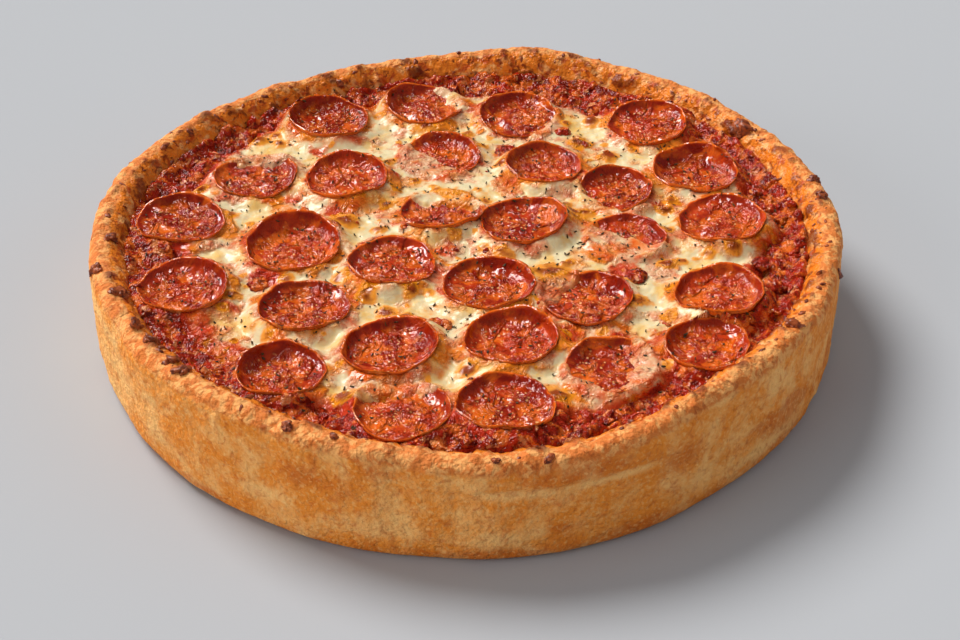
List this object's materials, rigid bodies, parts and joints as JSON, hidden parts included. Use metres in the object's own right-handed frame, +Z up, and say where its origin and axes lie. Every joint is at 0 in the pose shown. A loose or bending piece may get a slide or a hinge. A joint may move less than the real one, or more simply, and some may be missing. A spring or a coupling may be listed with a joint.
{
  "type": "deep dish pizza",
  "caption": "Whole uncut deep dish pizza: tall round dough case with a raised rim, tomato sauce, melted cheese and cupped pepperoni slices.",
  "frame": {"origin": "centre of the flat underside, on the surface the pizza stands on", "axes": "+Z up, -Y towards the front view"},
  "size_m": [0.3054, 0.3037, 0.0509],
  "materials": {
    "crust": "baked dough, dry and floury, golden with browned patches",
    "sauce": "chunky cooked tomato, wet",
    "cheese": "melted mozzarella, cream with golden blisters and orange oil",
    "pepperoni": "cured sausage, oily, curled at the edge",
    "tomato": "roasted tomato, glossy with darker edges"
  },
  "bodies": {
    "root": {"crust": "crust", "sauce": "sauce", "cheese": "cheese", "pepperoni_01": "pepperoni", "pepperoni_02": "pepperoni", "pepperoni_03": "pepperoni", "pepperoni_04": "pepperoni", "pepperoni_05": "pepperoni", "pepperoni_06": "pepperoni", "pepperoni_07": "pepperoni", "pepperoni_08": "pepperoni", "pepperoni_09": "pepperoni", "pepperoni_10": "pepperoni", "pepperoni_11": "pepperoni", "pepperoni_12": "pepperoni", "pepperoni_13": "pepperoni", "pepperoni_14": "pepperoni", "pepperoni_15": "pepperoni", "pepperoni_16": "pepperoni", "pepperoni_17": "pepperoni", "pepperoni_18": "pepperoni", "pepperoni_19": "pepperoni", "pepperoni_20": "pepperoni", "pepperoni_21": "pepperoni", "pepperoni_22": "pepperoni", "pepperoni_23": "pepperoni", "pepperoni_24": "pepperoni", "pepperoni_25": "pepperoni", "pepperoni_26": "pepperoni", "pepperoni_27": "pepperoni", "pepperoni_28": "pepperoni", "pepperoni_29": "pepperoni", "tomato_01": "tomato", "tomato_02": "tomato", "tomato_03": "tomato", "tomato_04": "tomato", "tomato_05": "tomato", "tomato_06": "tomato"}
  },
  "joints": []
}
